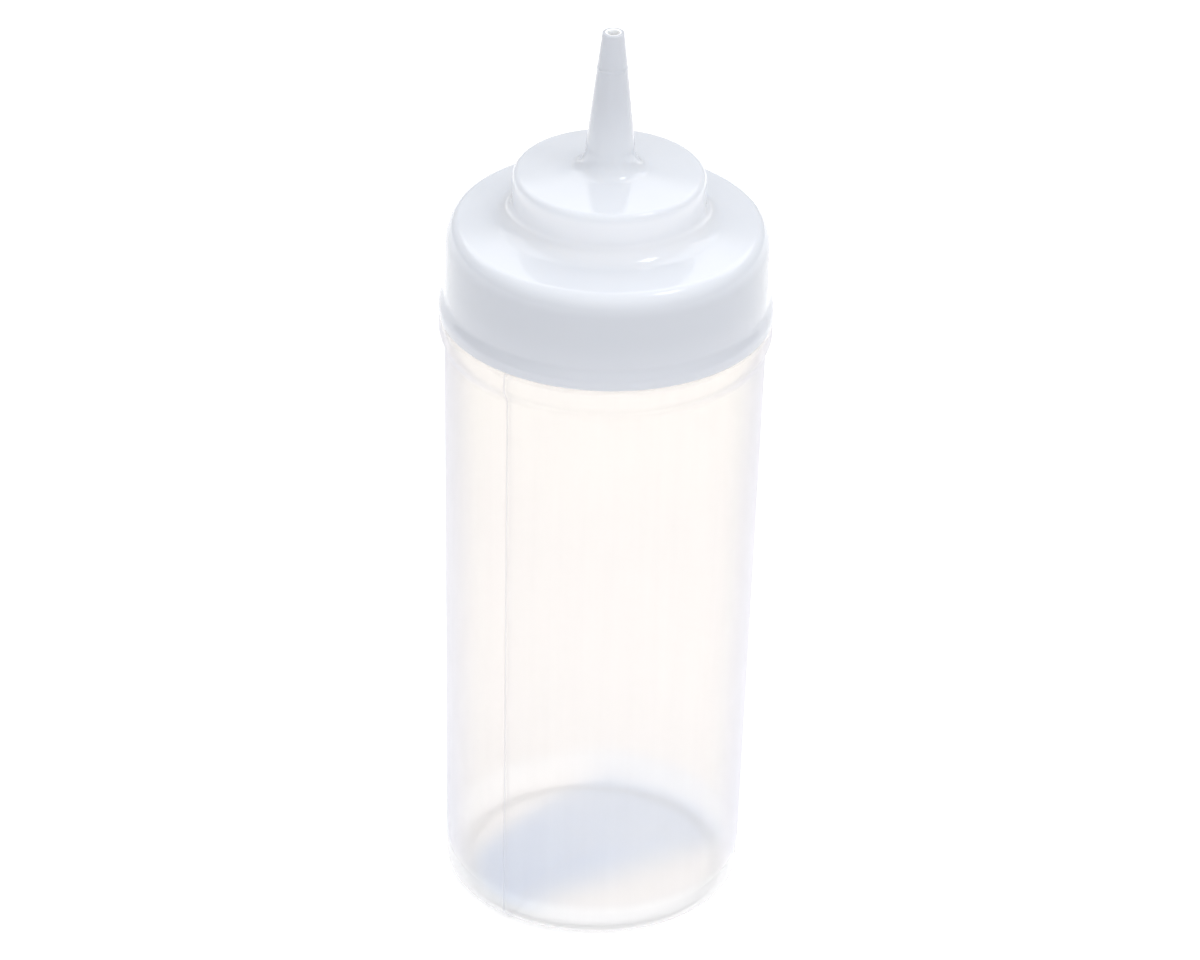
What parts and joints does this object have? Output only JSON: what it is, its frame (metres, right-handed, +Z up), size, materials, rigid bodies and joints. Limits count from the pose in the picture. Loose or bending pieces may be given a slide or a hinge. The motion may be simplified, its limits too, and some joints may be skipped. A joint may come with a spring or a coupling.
{
  "type": "squeeze bottle",
  "caption": "Tall round squeeze bottle for sauces, with a wide threaded neck and a stepped screw cap that ends in an open cone tip.",
  "frame": {"origin": "centre of the circle that the bottle stands on", "axes": "+Z up along the bottle's axis, from the base to the cone tip; the mould's parting plane lies at -126 degrees from +X"},
  "size_m": [0.0718, 0.0718, 0.2063],
  "materials": {
    "bottle_plastic": "natural low-density polyethylene, translucent, satin outside with a fine parting line",
    "cap_plastic": "white low-density polyethylene, slightly translucent, semi-gloss",
    "ring_foam": "soft closed-cell polyethylene foam"
  },
  "bodies": {
    "bottle_body": {"bottle": "bottle_plastic"},
    "ring_body": {"sealing_ring": "ring_foam"},
    "cap_body": {"cone_tip_cap": "cap_plastic"}
  },
  "joints": [
    {"name": "cap_lift", "type": "slide", "parent": "bottle_body", "child": "ring_body", "axis": [0, 0, 1], "range_m": [0, 0.00741]},
    {"name": "cap_turn", "type": "hinge", "parent": "ring_body", "child": "cap_body", "pos_m": [0, 0, 0.15], "axis": [0, 0, 1], "range_deg": [0, 630]}
  ],
  "couplings": [
    {"joint": "cap_lift", "follows": "cap_turn", "m_per_rad": 0.00067376}
  ]
}
